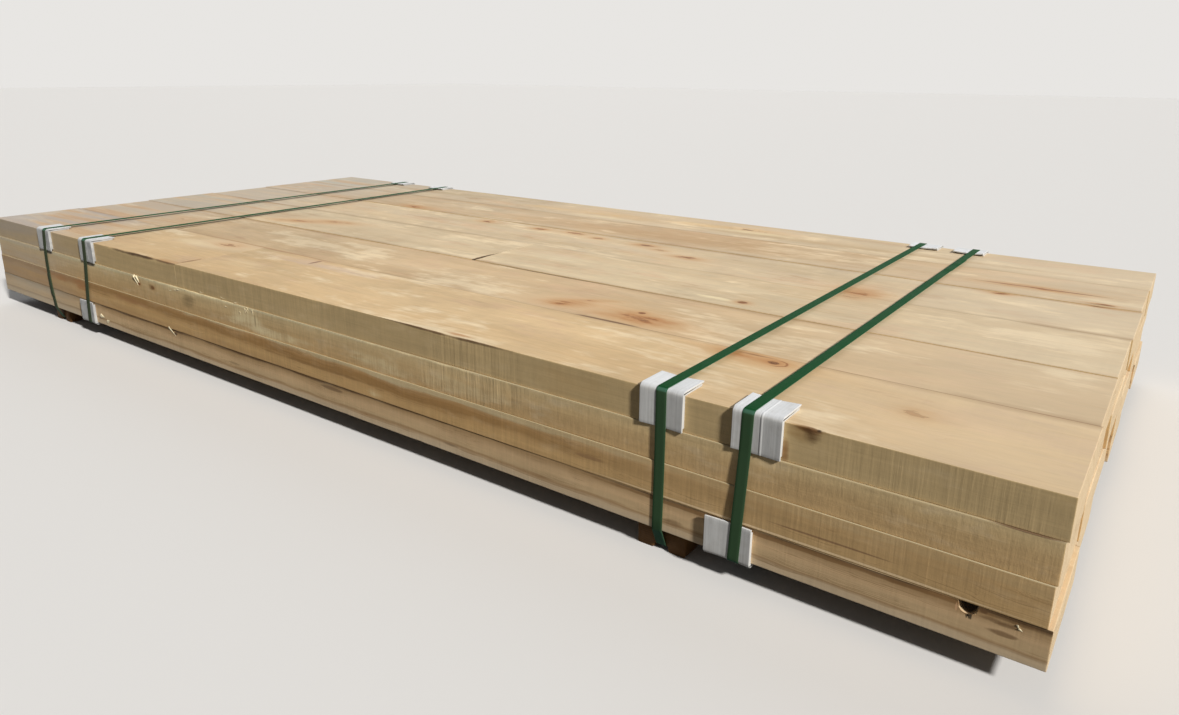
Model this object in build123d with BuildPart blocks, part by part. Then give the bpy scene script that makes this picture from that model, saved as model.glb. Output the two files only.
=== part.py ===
import os
from math import cos, radians

from build123d import *

# A strapped pack of rough-sawn cedar boards. X runs along the boards, Y across the pack, Z up.
# The origin is on the floor under the middle of the pack. All sizes are in millimetres.

# Boards: four layers, numbered from the bottom, of six rows, numbered from the front (-Y).
pack_length = 2630.0
board_width = 203.4
board_thickness = 50.5
row_gap = 0.8
end_joint_gap = 0.6

# What each board's width differs from the nominal one, front row first; each layer adds up to nothing.
width_changes = [
    [0.0, -12.0, 18.0, -6.0, 9.0, -9.0],
    [10.0, -3.0, -15.0, 15.0, -8.0, 1.0],
    [-8.0, 13.0, 0.0, -12.0, 6.0, 1.0],
    [17.5, 1.5, 10.5, -3.5, -13.0, -13.0],
]

# How far each layer's outer faces stand back from the proudest layer, at the front and at the back.
layer_setbacks = [0.6, 0.0, 2.0, 4.7]

# How far each board's end stands back from the end of the pack, front row first.
left_end_setbacks = [
    [0.0, 5.0, 2.0, 7.0, 3.0, 4.0],
    [4.0, 2.0, 6.0, 1.0, 5.0, 2.0],
    [2.0, 6.0, 3.0, 4.0, 1.0, 5.0],
    [1.0, 4.0, 2.0, 5.0, 3.0, 0.0],
]
right_end_setbacks = [
    [0.0, 4.0, 7.0, 3.0, 5.0, 2.0],
    [5.0, 3.0, 6.0, 2.0, 4.0, 6.0],
    [3.0, 5.0, 1.0, 6.0, 2.0, 4.0],
    [0.5, 2.5, 3.0, 1.0, 3.0, 1.5],
]

# Rough-sawn top boards differ a little in thickness.
top_thickness_changes = [0.0, -0.8, 0.5, -0.4, 0.7, 0.0]

# End joints in the top layer: how far from the pack's left end, how much wider the joint is at the
# row's front edge, where the next board's corner is off square, and how far back that runs.
end_joints = {
    "row_1": dict(from_left=937.0, gape=2.2, gape_run=75.0),
    "row_2": dict(from_left=545.0, gape=3.0, gape_run=36.0),
    "row_3": dict(from_left=1403.0, gape=6.5, gape_run=85.0),
    "row_4": dict(from_left=519.0, gape=2.8, gape_run=70.0),
}

# Wane, where the round of the log cuts off a board's upper front edge: middle along X, half length
# and depth, by board.
wane = {
    "layer_4_board_1_left": [
        dict(x=-560.0, half_run=150.0, depth=2.5),
        dict(x=-440.0, half_run=80.0, depth=1.8),
    ],
    "layer_4_board_1_right": [dict(x=432.0, half_run=58.0, depth=1.8)],
    "layer_1_board_1": [dict(x=-416.0, half_run=15.0, depth=3.0)],
}
wane_slope = 45.0

# The knot that fell out of the bottom board's upper front edge, and how far it is from the right end.
knot_hole_board = "layer_1_board_1"
knot_hole_inset = 83.0
knot_hole_radius = 10.5
knot_hole_depth = 18.0
knot_hole_drop = 4.0
knot_hole_taper = 14.0

# Bearers, with a groove along the underside in which a strap runs.
bearer_width = 76.0
bearer_height = 38.0
bearer_setback = 13.0
bearer_edge_radius = 3.0
groove_width = 22.0
groove_depth = 9.0
groove_mouth_radius = 5.0

# Corner protectors, moulded with feet that hold the skin off the wood.
protector_width = 66.0
protector_leg = 55.0
protector_skin = 2.8
protector_foot = 2.2
protector_foot_width = 2.5
protector_outer_radius = 6.0
protector_inner_radius = 3.0
protector_lip_radius = 1.0
foot_end_margin = 5.0
foot_root = 0.5

# Straps, friction-welded where the ends lap.
strap_width = 16.0
strap_thickness = 1.0

# Each strap: the end of the pack that it is nearer to (-1 left, 1 right) and how far in from it, how
# far off it its protectors sit, and whether a bearer is under it.
strap_places = {
    "strap_1": dict(end=-1, inset=313.0, front_top=-6.0, back_top=5.0, bearer="left_bearer"),
    "strap_2": dict(
        end=-1, inset=520.0, front_top=17.0, back_top=-6.0, front_bottom=-16.0, back_bottom=4.0
    ),
    "strap_3": dict(end=1, inset=478.0, front_top=0.0, back_top=12.0, bearer="right_bearer"),
    "strap_4": dict(
        end=1, inset=357.0, front_top=15.0, back_top=-8.0, front_bottom=-14.0, back_bottom=6.0
    ),
}
# Each strap's lap: the run of the strap that it is on, its middle along that run, and its length.
laps = {
    "strap_1": dict(run="front", middle=98.0, length=60.0),
    "strap_2": dict(run="bottom", middle=240.0, length=130.0),
    "strap_3": dict(run="back", middle=120.0, length=60.0),
    "strap_4": dict(run="top", middle=396.0, length=130.0),
}

# Worked out from the sizes above
row_count = len(width_changes[0])
layer_count = len(width_changes)
half_length = pack_length / 2
half_width = board_width * row_count / 2
stack_height = board_thickness * layer_count
boards_bottom = bearer_height
boards_top = boards_bottom + stack_height
top_seat = half_width - layer_setbacks[-1]
bottom_seat = half_width - layer_setbacks[0]
stand_off = protector_foot + protector_skin
strap_face = max(half_width, top_seat + stand_off)
knot_hole_x = half_length - knot_hole_inset


def write(part, name):
    part.label = name
    export_step(part, f"parts/{name}.step")


def cut_wane(edge_y, edge_z, x, half_run, depth):
    # A wide shallow scoop across the edge, which runs out to nothing at both of its ends
    scoop_radius = (half_run**2 + depth**2) / (2 * depth)
    reach = (scoop_radius - depth) * cos(radians(wane_slope))
    scoop_length = 3 * 2 * depth  # three times as long as the cut is wide
    with Locations(Location((x, edge_y - reach, edge_z + reach), (-wane_slope, 0, 0))):
        Cylinder(radius=scoop_radius, height=scoop_length, mode=Mode.SUBTRACT)


def make_board(name, left, right, front, back, bottom, thickness, gape=0.0, gape_run=0.0):
    # The gape is what the left end lacks of a square corner at the front
    corners = [(left + gape, front), (right, front), (right, back), (left, back)]
    if gape > 0:
        corners.append((left, front + gape_run))
    with BuildPart() as board:
        with BuildSketch(Plane.XY.offset(bottom)):
            with BuildLine():
                Polyline(*corners, close=True)
            make_face()
        extrude(amount=thickness)
        for scoop in wane.get(name, []):
            cut_wane(front, bottom + thickness, **scoop)
        if name == knot_hole_board:
            with BuildSketch(Plane.XZ.offset(-front)):
                with Locations((knot_hole_x, bottom + thickness - knot_hole_drop)):
                    Circle(knot_hole_radius)
            extrude(amount=-knot_hole_depth, taper=knot_hole_taper, mode=Mode.SUBTRACT)
    write(board.part, name)


def make_layer(layer):
    index = layer - 1
    bottom = boards_bottom + index * board_thickness
    edge = -half_width
    for row in range(1, row_count + 1):
        front = edge
        edge = edge + board_width + width_changes[index][row - 1]
        outer_front = front + (layer_setbacks[index] if row == 1 else row_gap / 2)
        outer_back = edge - (layer_setbacks[index] if row == row_count else row_gap / 2)
        left = -half_length + left_end_setbacks[index][row - 1]
        right = half_length - right_end_setbacks[index][row - 1]
        name = f"layer_{layer}_board_{row}"
        thickness = board_thickness
        if layer == layer_count:
            thickness += top_thickness_changes[row - 1]
        joint = end_joints.get(f"row_{row}") if layer == layer_count else None
        if joint:
            middle = -half_length + joint["from_left"]
            before, after = middle - end_joint_gap / 2, middle + end_joint_gap / 2
            make_board(f"{name}_left", left, before, outer_front, outer_back, bottom, thickness)
            make_board(
                f"{name}_right", after, right, outer_front, outer_back, bottom, thickness,
                joint["gape"], joint["gape_run"],
            )
        else:
            make_board(name, left, right, outer_front, outer_back, bottom, thickness)


def make_bearer(name, x):
    half = bearer_width / 2
    groove_half = groove_width / 2
    with BuildPart() as bearer:
        with BuildSketch(Plane.XZ) as section:
            with Locations((x, bearer_height / 2)):
                Rectangle(bearer_width, bearer_height)
            with Locations((x, groove_depth / 2)):
                Rectangle(groove_width, groove_depth, mode=Mode.SUBTRACT)
            low = section.vertices().filter_by(lambda v: abs(v.Y) < 0.01)
            fillet(low.filter_by(lambda v: abs(abs(v.X - x) - groove_half) < 0.01), groove_mouth_radius)
            outer = section.vertices().filter_by(lambda v: abs(abs(v.X - x) - half) < 0.01)
            fillet(outer, bearer_edge_radius)
        extrude(amount=half_width - bearer_setback, both=True)
    write(bearer.part, name)


def make_protector(name, x, side, level, seat_y, seat_z):
    # side is -1 at the front and 1 at the back, level is 1 at the top and -1 at the bottom.
    # A point is given by how far it is outside the wood's two faces, across and up.
    def at(across, up):
        return (side * (seat_y + across), seat_z + level * up)

    def near(across, up):
        y, z = at(across, up)
        return lambda v: abs(v.X - y) < 0.01 and abs(v.Y - z) < 0.01

    tip = stand_off - protector_leg
    skin_start = protector_foot
    with BuildPart() as protector:
        with BuildSketch(Plane.YZ.offset(x - protector_width / 2)) as skin:
            with BuildLine():
                Polyline(
                    at(stand_off, stand_off),
                    at(stand_off, tip),
                    at(skin_start, tip),
                    at(skin_start, skin_start),
                    at(tip, skin_start),
                    at(tip, stand_off),
                    close=True,
                )
            make_face()
            fillet(skin.vertices().filter_by(near(stand_off, stand_off)), protector_outer_radius)
            fillet(skin.vertices().filter_by(near(skin_start, skin_start)), protector_inner_radius)
            lips = [(stand_off, tip), (skin_start, tip), (tip, skin_start), (tip, stand_off)]
            for across, up in lips:
                fillet(skin.vertices().filter_by(near(across, up)), protector_lip_radius)
        extrude(amount=protector_width)
        foot_tip = tip + foot_end_margin
        foot_top = skin_start + foot_root
        edge_foot = protector_width / 2 - protector_foot_width / 2
        for offset_x in (-edge_foot, 0.0, edge_foot):
            with BuildSketch(Plane.YZ.offset(x + offset_x - protector_foot_width / 2)):
                with BuildLine():
                    Polyline(
                        at(0, 0),
                        at(0, foot_tip),
                        at(foot_top, foot_tip),
                        at(foot_top, foot_top),
                        at(foot_tip, foot_top),
                        at(foot_tip, 0),
                        close=True,
                    )
                make_face()
            extrude(amount=protector_foot_width)
    write(protector.part, name)


def strap_outline(place):
    # The front half of the strap's inner face, from the bottom up
    top = boards_top + stand_off
    leg_end = stand_off - protector_leg
    if "bearer" in place:
        return [
            (-(half_width - bearer_setback), groove_depth),
            (-strap_face, boards_bottom),
            (-strap_face, top),
        ]
    bottom_face = bottom_seat + stand_off
    return [
        (-bottom_face, boards_bottom - stand_off),
        (-bottom_face, boards_bottom - leg_end),
        (-strap_face, boards_top + leg_end),
        (-strap_face, top),
    ]


def make_strap(name, place, x):
    front = strap_outline(place)
    points = front + [(-y, z) for y, z in reversed(front)]
    corner_levels = [boards_top + stand_off]
    if "bearer" not in place:
        corner_levels.append(boards_bottom - stand_off)
    # The lap's second thickness lies on the outer face of the first
    lap_off = 1.5 * strap_thickness
    run, middle, length = (laps[name][key] for key in ("run", "middle", "length"))
    lap_sizes = {
        "top": (middle, boards_top + stand_off + lap_off, length, strap_thickness),
        "bottom": (middle, boards_bottom - stand_off - lap_off, length, strap_thickness),
        "front": (-strap_face - lap_off, middle, strap_thickness, length),
        "back": (strap_face + lap_off, middle, strap_thickness, length),
    }
    lap_y, lap_z, lap_across, lap_up = lap_sizes[run]
    with BuildPart() as strap:
        with BuildSketch(Plane.YZ.offset(x - strap_width / 2)) as section:
            with BuildLine():
                Polyline(*points, close=True)
            make_face()
            for level in corner_levels:
                on_level = section.vertices().filter_by(lambda v: abs(v.Y - level) < 0.01)
                fillet(on_level, protector_outer_radius)
            inner = section.face()
            offset(amount=strap_thickness, kind=Kind.ARC)
            add(inner, mode=Mode.SUBTRACT)
            with Locations((lap_y, lap_z)):
                Rectangle(lap_across, lap_up)
        extrude(amount=strap_width)
    write(strap.part, name)


def make_strap_set(name, place):
    x = place["end"] * (half_length - place["inset"])
    make_strap(name, place, x)
    number = name[-1]
    for side, side_name in ((-1, "front"), (1, "back")):
        make_protector(
            f"{side_name}_top_protector_{number}",
            x + place[f"{side_name}_top"], side, 1, top_seat, boards_top,
        )
        if "bearer" not in place:
            make_protector(
                f"{side_name}_bottom_protector_{number}",
                x + place[f"{side_name}_bottom"], side, -1, bottom_seat, boards_bottom,
            )
    if "bearer" in place:
        make_bearer(place["bearer"], x)


os.makedirs("parts", exist_ok=True)
for layer_number in range(1, layer_count + 1):
    make_layer(layer_number)
for strap_name, strap_place in strap_places.items():
    make_strap_set(strap_name, strap_place)
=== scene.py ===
import math
import random
from collections import namedtuple

import bmesh
import bpy
from mathutils import Matrix, Vector, noise


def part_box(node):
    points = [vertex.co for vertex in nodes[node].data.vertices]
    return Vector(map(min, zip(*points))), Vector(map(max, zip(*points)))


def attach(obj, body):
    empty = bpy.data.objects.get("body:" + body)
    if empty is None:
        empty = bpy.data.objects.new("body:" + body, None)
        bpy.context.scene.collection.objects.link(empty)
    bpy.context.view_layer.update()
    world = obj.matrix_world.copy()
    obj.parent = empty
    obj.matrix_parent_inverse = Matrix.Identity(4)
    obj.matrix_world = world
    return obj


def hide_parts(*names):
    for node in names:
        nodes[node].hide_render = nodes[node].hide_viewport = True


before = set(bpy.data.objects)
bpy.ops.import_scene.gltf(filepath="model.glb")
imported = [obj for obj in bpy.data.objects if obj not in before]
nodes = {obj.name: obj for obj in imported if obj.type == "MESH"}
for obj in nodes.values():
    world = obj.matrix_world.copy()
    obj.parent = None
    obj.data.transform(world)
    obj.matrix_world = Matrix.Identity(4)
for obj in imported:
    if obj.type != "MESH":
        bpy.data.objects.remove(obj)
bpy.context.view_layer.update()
scene = bpy.context.scene
print("frame loaded:", len(nodes), "nodes")


class Wire:
    # One output socket. Sums with it add the Math nodes.
    def __init__(self, finish, socket):
        self.finish = finish
        self.socket = socket

    def maths(self, operation, *others):
        return self.finish.maths(operation, self, *others)

    def __add__(self, other):
        return self.maths("ADD", other)

    __radd__ = __add__

    def __sub__(self, other):
        return self.maths("SUBTRACT", other)

    def __rsub__(self, other):
        return self.finish.maths("SUBTRACT", other, self)

    def __mul__(self, other):
        return self.maths("MULTIPLY", other)

    __rmul__ = __mul__

    def __truediv__(self, other):
        return self.maths("DIVIDE", other)

    def __pow__(self, other):
        return self.maths("POWER", other)

    def __rpow__(self, other):
        return self.finish.maths("POWER", other, self)

    def outputs(self):
        return self.socket.node.outputs


class Finish:
    # A material or a world while its nodes are being put together
    def __init__(self, owner):
        self.owner = owner
        owner.use_nodes = True
        self.tree = owner.node_tree
        self.tree.nodes.clear()

    def add(self, kind, settings=None, sockets=None, output=0):
        made = self.tree.nodes.new(kind)
        for key, value in (settings or {}).items():
            if key == "stops":
                ramp = made.color_ramp
                while len(ramp.elements) < len(value):
                    ramp.elements.new(0.5)
                for element, (place, colour) in zip(ramp.elements, value):
                    element.position = place
                    element.color = (*colour, 1)
            else:
                setattr(made, key, value)
        for key, value in (sockets or {}).items():
            target = made.inputs[key]
            if isinstance(value, Wire):
                self.tree.links.new(value.socket, target)
            elif isinstance(value, tuple) and target.type == "RGBA":
                target.default_value = (*value, 1)
            else:
                target.default_value = value
        return Wire(self, made.outputs[output]) if made.outputs else None

    def maths(self, operation, *values):
        return self.add("ShaderNodeMath", dict(operation=operation), dict(enumerate(values)))

    def coordinates(self):
        return self.add("ShaderNodeTexCoord", output="Object")

    def facing(self):
        return self.add("ShaderNodeNewGeometry", output="Normal")

    def apart(self, vector):
        return [Wire(self, part) for part in self.add("ShaderNodeSeparateXYZ", None, {0: vector}).outputs()]

    def together(self, x, y, z):
        return self.add("ShaderNodeCombineXYZ", None, {0: x, 1: y, 2: z})

    def grainy(self, vector, scale, shift=(0, 0, 0), detail=2.0, rough=0.5, output=0):
        placed = self.add("ShaderNodeMapping", None, {"Vector": vector, "Location": shift, "Scale": scale})
        sockets = {"Vector": placed, "Scale": 1.0, "Detail": detail, "Roughness": rough}
        return self.add("ShaderNodeTexNoise", None, sockets, output)

    def lineNoise(self, value, detail=1.0):
        return self.add("ShaderNodeTexNoise", dict(noise_dimensions="1D"), {"W": value, "Scale": 1.0, "Detail": detail})

    def step(self, value, low, high):
        sockets = {"Value": value, "From Min": low, "From Max": high}
        return self.add("ShaderNodeMapRange", dict(interpolation_type="SMOOTHSTEP"), sockets)

    def ridge(self, value, middle, low, high):
        return self.step((value - middle).maths("ABSOLUTE"), low, high)

    def fall(self, value, rate):
        return math.e ** (value * -rate)

    def blend(self, factor, first, second, how="MIX"):
        return self.add("ShaderNodeMix", dict(data_type="RGBA", blend_type=how), {0: factor, 6: first, 7: second}, 2)

    def tinted(self, colour, tone):
        return self.blend(1.0, colour, tone, "MULTIPLY")

    def bump(self, height, strength, distance):
        return self.add("ShaderNodeBump", None, {"Height": height, "Strength": strength, "Distance": distance})

    def seenBy(self, *rays):
        path = self.add("ShaderNodeLightPath").outputs()
        seen, *others = [Wire(self, path[f"Is {ray} Ray"]) for ray in rays]
        for other in others:
            seen = seen.maths("MAXIMUM", other)
        return seen

    def surface(self, colour, rough, normal=None, specular=0.3):
        sockets = {"Base Color": colour, "Roughness": rough, "Specular IOR Level": specular}
        if normal:
            sockets["Normal"] = normal
        shader = self.add("ShaderNodeBsdfPrincipled", None, sockets)
        self.add("ShaderNodeOutputMaterial", None, {"Surface": shader})
        return self.owner


# Cedar
cedar = dict(
    ringSpacing=0.0026, wander=0.05, ripple=0.004, knotSwell=0.02, parting=0.55, duller=0.0, shine=0.72,
    relief=(0.55, 0.0010),  # the bump's strength and distance
    late=(0.50, 0.32, 0.15), cream=(0.78, 0.64, 0.43), blush=(0.64, 0.44, 0.27), grey=(0.47, 0.41, 0.34),
    bleached=(0.74, 0.62, 0.45), redBrown=(0.47, 0.27, 0.145), lineBrown=(0.28, 0.155, 0.06),
    seam=(0.27, 0.155, 0.075), knotGlow=(0.64, 0.375, 0.165), knotHalo=(0.46, 0.215, 0.075),
    knotCore=(0.31, 0.125, 0.042), knotDark=(0.105, 0.045, 0.018),
    endPale=(0.72, 0.57, 0.37), endDark=(0.50, 0.34, 0.18), crack=(0.055, 0.032, 0.018),
    # Where along X each change of the weather starts and ends
    greying=(-0.68, -1.15), browning=(-0.55, -0.95), bleaching=(0.70, 1.25),
    dulling=(-0.05, -0.40), clearing=(-1.10, -0.75),
)
# The wood's noises: scale, detail and roughness, and for some how the seed shifts them, and a fixed shift
usualShift = ((3.1, 1.7, 0.9), (0, 0, 0))
cedarNoises = dict(
    ragged=((22, 70, 70), 3.0, 0.6),
    drift=((0.9, 2.2, 2.2), 1.0, 0.5),
    ripple=((7, 45, 45), 1.0, 0.5),
    bend=((2.1, 5, 5), 2.0, 0.5),
    # Along the grain
    streak=((3.0, 130, 130), 3.0, 0.6),
    fleck=((24, 160, 160), 3.0, 0.6),
    short=((10, 75, 75), 4.0, 0.65, (1, 0, 2), (0, 4, 0)),
    cloud=((3.0, 11, 11), 4.0, 0.62, (5, 0, 1), (0, 2, 0)),
    band=((1.0, 13, 13), 3.0, 0.5),
    patch=((3.4, 10, 10), 4.0, 0.66, (1, 2, 0), (0, 0, 1)),
    smudge=((5.5, 24, 24), 4.0, 0.68, (1, 0, 3), (0, 6, 0)),
    hair=((5.0, 190, 190), 3.0, 0.6, (4, 0, 1), (0, 0, 0)),
    # Over the face
    blotch=((9, 8, 8), 4.0, 0.62, (2, 0, 1), (0, 5, 0)),
    lateShare=((1.6, 18, 18), 2.0, 0.5),
    uneven=((2.0, 26, 26), 3.0, 0.6, (3, 1, 0), (0, 0, 5)),
    worn=((1.7, 6, 6), 4.0, 0.7, (1, 1, 2), (0, 0, 0)),
    # Left by the saw
    waver=((6, 30, 30), 3.0, 0.6, (1, 0, 1), (0, 3, 0)),
    chatter=((230, 5, 9), 3.0, 0.6),
    coarse=((62, 3, 5), 3.0, 0.6),
    patchy=((2.6, 6, 9), 1.0, 0.5, (2, 0, 0), (0, 0, 1)),
    fur=((190, 190, 90), 3.0, 0.7, (1, 0, 1), (0, 1, 0)),
    mottle=((14, 20, 42), 3.0, 0.65, (1, 0, 0), (0, 7, 3)),
    faceSaw=((170, 2.5, 2.5), 2.0, 0.5, (1, 0, 1), (0, 3, 0)),
)

# Each row of the top layer: pale wood and darker bands
rowTones = {
    1: dict(duller=0.07, pale=(0.665, 0.482, 0.270), tan=(0.605, 0.424, 0.226), grey=(0.375, 0.360, 0.365)),
    2: dict(duller=0.14, pale=(0.635, 0.475, 0.292), tan=(0.572, 0.412, 0.237)),
    3: dict(duller=0.12, pale=(0.660, 0.530, 0.345), tan=(0.598, 0.455, 0.278), grey=(0.405, 0.375, 0.330)),
    4: dict(pale=(0.640, 0.515, 0.350), tan=(0.600, 0.465, 0.290)),
    5: dict(duller=0.06, pale=(0.600, 0.468, 0.305), tan=(0.530, 0.370, 0.210), grey=(0.475, 0.44, 0.385)),
    6: dict(duller=0.16, pale=(0.640, 0.515, 0.350), tan=(0.580, 0.450, 0.282), grey=(0.405, 0.410, 0.380)),
}
# Each layer's sawn edge from its bottom to its top, how far its bands climb with X, and how furry it is; a few stops
# are painted shade and painted highlights where layers meet
layerEdges = {
    1: dict(
        climb=0.0, furry=0.5, wavy=0.22, lines=0.55, grey=(0.72, 0.64, 0.50),
        stops=[
            (0.0, (0.70, 0.55, 0.37)), (0.20, (0.70, 0.53, 0.33)), (0.30, (0.46, 0.29, 0.145)),
            (0.36, (0.71, 0.51, 0.28)), (0.66, (0.74, 0.51, 0.28)), (0.90, (0.48, 0.31, 0.15)),
            # The near-black top stop is painted shade in the gap under layer 2
            (0.985, (0.09, 0.048, 0.018)),
        ],
    ),
    2: dict(
        climb=0.2, furry=0.6, wavy=0.5, lines=0.45, fade=(0.45, 1.0, (0.63, 0.42, 0.195)), grey=(0.52, 0.385, 0.26),
        stops=[
            (0.0, (0.62, 0.385, 0.17)), (0.30, (0.70, 0.45, 0.195)), (0.48, (0.63, 0.39, 0.165)),
            (0.62, (0.43, 0.245, 0.09)), (0.80, (0.46, 0.26, 0.095)), (0.93, (0.60, 0.365, 0.16)),
            # The pale top stop is a painted highlight on the top front arris
            (1.0, (0.69, 0.54, 0.305)),
        ],
    ),
    3: dict(
        climb=-0.1, furry=1.6, wavy=0.2, lines=0.2, grey=(0.66, 0.555, 0.425),
        stops=[
            (0.0, (0.68, 0.46, 0.22)), (0.12, (0.64, 0.43, 0.205)), (0.45, (0.66, 0.455, 0.22)),
            # The last, palest stop is a painted highlight on the top front arris
            (0.70, (0.73, 0.53, 0.27)), (0.92, (0.75, 0.57, 0.305)), (1.0, (0.79, 0.68, 0.42)),
        ],
    ),
    4: dict(
        climb=0.0, furry=0.7, wavy=0.12, lines=0.12, grey=(0.51, 0.445, 0.38),
        stops=[
            (0.0, (0.72, 0.54, 0.29)), (0.06, (0.625, 0.46, 0.235)), (0.94, (0.62, 0.455, 0.23)),
            (1.0, (0.65, 0.48, 0.24)),
        ],
    ),
}


class Cedar(Finish):
    # Sawn wood, laid out through the whole piece, so that each face shows its own cut of the same grain
    def __init__(self, name, tones, edge, box, seed, knots=(), marks=(), crosswise=False):
        super().__init__(bpy.data.materials.new(name))
        self.shade, self.edge, self.seed, self.knots, self.marks = {**cedar, **tones}, edge, seed, knots, marks
        self.low, self.high = box
        self.at, facing = self.coordinates(), self.facing()
        if crosswise:
            self.at, facing = self.swapped(self.at), self.swapped(facing)
        self.x, self.y, self.z = self.apart(self.at)
        self.isEnd, self.isSide = [self.step(part.maths("ABSOLUTE"), 0.6, 0.85) for part in self.apart(facing)[:2]]
        self.isWide = 1 - self.isSide

    def swapped(self, vector):
        x, y, z = self.apart(vector)
        return self.together(y, x, z)

    def field(self, name, vector=None, output=0):
        scale, detail, rough, *shifts = cedarNoises[name]
        perSeed, fixed = shifts or usualShift
        shift = tuple(self.seed * part + more for part, more in zip(perSeed, fixed))
        return self.grainy(vector or self.at, scale, shift, detail, rough, output)

    def over(self, factor, colour):
        self.colour = self.blend(factor, self.colour, colour)

    def paint(self, value, low, high, amount, shade):
        self.over(self.step(value, low, high) * amount, self.shade[shade])

    def reach(self, mark):
        # 1 inside the mark, 0 outside, with a ragged rim
        away = [(value - span[0]) / span[1] for value, span in zip((self.x, self.y, self.z), mark[:3]) if span]
        reach = 0
        for part in away:
            reach = part * part + reach
        reach = reach + self.ragged * mark.ragged + self.streaks * mark.streaky
        return self.step(reach, 1.0, mark.soft)

    def grow(self, pith):
        # Rings round a pith that wanders, swollen where a knot passes, and grain lines that part round it
        shade, x, y, z = self.shade, self.x, self.y, self.z
        self.drift = self.apart(self.field("drift", output=1))
        self.acrossPith = y - pith[0] + (self.drift[0] - 0.5) * shade["wander"]
        self.abovePith = z - pith[1] + (self.drift[1] - 0.5) * shade["wander"]
        rings = (self.acrossPith * self.acrossPith + self.abovePith * self.abovePith) ** 0.5
        rings = rings + self.field("ripple") * shade["ripple"]
        self.ragged = self.field("ragged") - 0.5
        flow = y + (self.field("bend") - 0.5) * self.isWide * shade["wander"]
        self.spreads = []
        for knot in self.knots:
            alongKnot = x - knot.x
            across = (y - knot.y if knot.z is None else z - knot.z) - alongKnot * knot.tilt
            runX, runY = alongKnot / knot.long, across / knot.wide
            otherFace = self.isSide if knot.z is None else self.isWide
            spread = runX * runX + runY * runY + self.ragged * knot.ragged + otherFace * 5
            self.spreads.append(spread)
            rings = rings + self.fall(spread, 0.45) * (shade["knotSwell"] * knot.swell)
            if knot.z is None:
                flow = flow - across * self.fall(spread, 0.5) * shade["parting"]
        self.rings = rings
        self.late = (rings / shade["ringSpacing"]).maths("FRACT") ** 4
        self.grain = self.together(x, flow, z)
        self.streak = self.field("streak", self.grain)
        self.streaks = self.streak - 0.5
        self.blotch = self.field("blotch")
        self.blotches = self.blotch - 0.5

    def wideFace(self):
        # Soft bands along the board, creamy and rosy patches, flecks and dark hairs
        shade, grain, x = self.shade, self.grain, self.x
        fleck, short, cloud = [self.field(name, grain) for name in ("fleck", "short", "cloud")]
        shorts = short - 0.5
        band = self.field("band", grain) + shorts * 0.30 + self.blotches * 0.35
        self.colour = self.blend(self.step(band, 0.34, 0.68), shade["pale"], shade["tan"])
        patch = self.field("patch", grain) + shorts * 0.24 + self.blotches * 0.30
        self.paint(patch, 0.52, 0.68, 0.78, "cream")
        self.paint(patch, 0.47, 0.30, 0.64, "blush")
        lateHere = self.late * self.step(self.field("lateShare"), 0.40, 0.66)
        self.over(lateHere * 0.34, shade["late"])
        smudge = self.field("smudge", grain) + self.blotches * 0.35
        self.paint(smudge, 0.60, 0.76, 0.40, "cream")
        self.paint(smudge, 0.40, 0.26, 0.34, "redBrown")
        self.paint(self.field("hair", grain), 0.58, 0.74, 0.36, "late")
        tone = 0.37 + self.streak * 0.10 + short * 0.20 + fleck * 0.24 + cloud * 0.42 + self.blotch * 0.40
        duller = self.step(x, *shade["dulling"]) * self.step(x, *shade["clearing"]) * shade["duller"]
        self.colour = self.tinted(self.colour, tone - duller)

    def weather(self):
        # Greyer with brown streaks towards the left end, bleached towards the right end, dark along the seams
        shade, x = self.shade, self.x
        uneven = self.field("uneven") + self.streaks * 0.3
        self.weathered = self.step(x, *shade["greying"]) * (0.30 + self.step(uneven, 0.36, 0.60) * 0.42)
        self.over(self.weathered, shade["grey"])
        browned = self.step(x, *shade["browning"]) * self.step(uneven, 0.47, 0.34)
        self.over(browned * 0.45, shade["redBrown"])
        self.paint(x, *shade["bleaching"], 0.34, "bleached")
        sides = [self.y - self.low.y] if self.low.y > -packHalf else []
        sides += [self.high.y - self.y] if self.high.y < packHalf else []
        toSeam = sides[0].maths("MINIMUM", sides[-1])
        worn = self.field("worn")
        seamLine = self.step(toSeam, 0.0036, 0.0008) * (0.25 + self.step(worn, 0.40, 0.62) * 0.75)
        seamHaze = self.step(toSeam, 0.019, 0.001) * self.step(worn, 0.40, 0.66)
        self.over((seamLine * 0.85).maths("MAXIMUM", seamHaze * 0.45), shade["seam"])

    def sawnEdge(self):
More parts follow.
